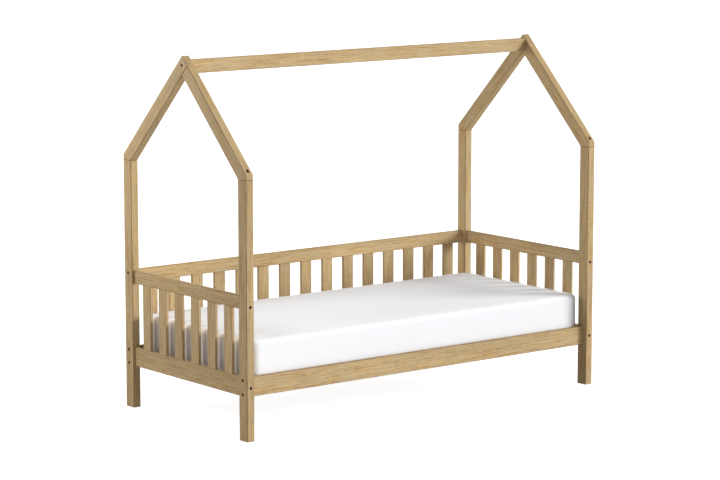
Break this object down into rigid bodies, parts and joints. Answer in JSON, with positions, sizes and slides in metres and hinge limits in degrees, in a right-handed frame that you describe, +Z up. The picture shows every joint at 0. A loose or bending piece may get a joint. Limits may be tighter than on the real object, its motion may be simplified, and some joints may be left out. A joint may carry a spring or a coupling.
{
  "type": "house frame bed",
  "caption": "Single bed in solid wood whose posts carry a gable roof frame, with slatted ends and back, an open front and a mattress on a slatted base.",
  "frame": {"origin": "on the floor, at the middle of the footprint of the four posts", "axes": "+X along the bed's length, to the right seen from the open front; -Y is the open front and +Y the slatted back; +Z up"},
  "size_m": [2.08, 0.984, 1.6913],
  "materials": {
    "frame_wood": "satin lacquered, light oak colour",
    "base_wood": "plain sanded, unfinished",
    "dowel_wood": "plain",
    "black_steel": "black oxide",
    "zinc_steel": "zinc plated",
    "webbing": "woven tape",
    "white_sheet": "matte woven cotton"
  },
  "bodies": {
    "bed_frame": {"barrel_nuts": "zinc_steel", "base_slats": "base_wood", "base_straps": "webbing", "dowels": "dowel_wood", "eave_bolts": "black_steel", "end_rail_bolts": "black_steel", "front_ledger": "base_wood", "front_left_post": "frame_wood", "front_left_rafter": "frame_wood", "front_right_post": "frame_wood", "front_right_rafter": "frame_wood", "front_side_rail": "frame_wood", "guard_slat_01": "frame_wood", "guard_slat_02": "frame_wood", "guard_slat_03": "frame_wood", "guard_slat_04": "frame_wood", "guard_slat_05": "frame_wood", "guard_slat_06": "frame_wood", "guard_slat_07": "frame_wood", "guard_slat_08": "frame_wood", "guard_slat_09": "frame_wood", "guard_slat_10": "frame_wood", "guard_slat_11": "frame_wood", "guard_slat_12": "frame_wood", "guard_slat_13": "frame_wood", "guard_slat_14": "frame_wood", "guard_slat_15": "frame_wood", "guard_top_rail": "frame_wood", "left_end_lower_rail": "frame_wood", "left_end_slat_1": "frame_wood", "left_end_slat_2": "frame_wood", "left_end_slat_3": "frame_wood", "left_end_slat_4": "frame_wood", "left_end_slat_5": "frame_wood", "left_end_slat_6": "frame_wood", "left_end_top_rail": "frame_wood", "peak_bolts": "black_steel", "rail_bolts": "black_steel", "rear_ledger": "base_wood", "rear_left_post": "frame_wood", "rear_left_rafter": "frame_wood", "rear_right_post": "frame_wood", "rear_right_rafter": "frame_wood", "rear_side_rail": "frame_wood", "ridge_beam": "frame_wood", "ridge_bolts": "black_steel", "right_end_lower_rail": "frame_wood", "right_end_slat_1": "frame_wood", "right_end_slat_2": "frame_wood", "right_end_slat_3": "frame_wood", "right_end_slat_4": "frame_wood", "right_end_slat_5": "frame_wood", "right_end_slat_6": "frame_wood", "right_end_top_rail": "frame_wood", "wood_screws": "zinc_steel"},
    "mattress": {"mattress": "white_sheet"}
  },
  "joints": [
    {"name": "mattress_lift", "type": "slide", "parent": "bed_frame", "child": "mattress", "axis": [0, 0, 1], "range_m": [0, 0.45]}
  ]
}
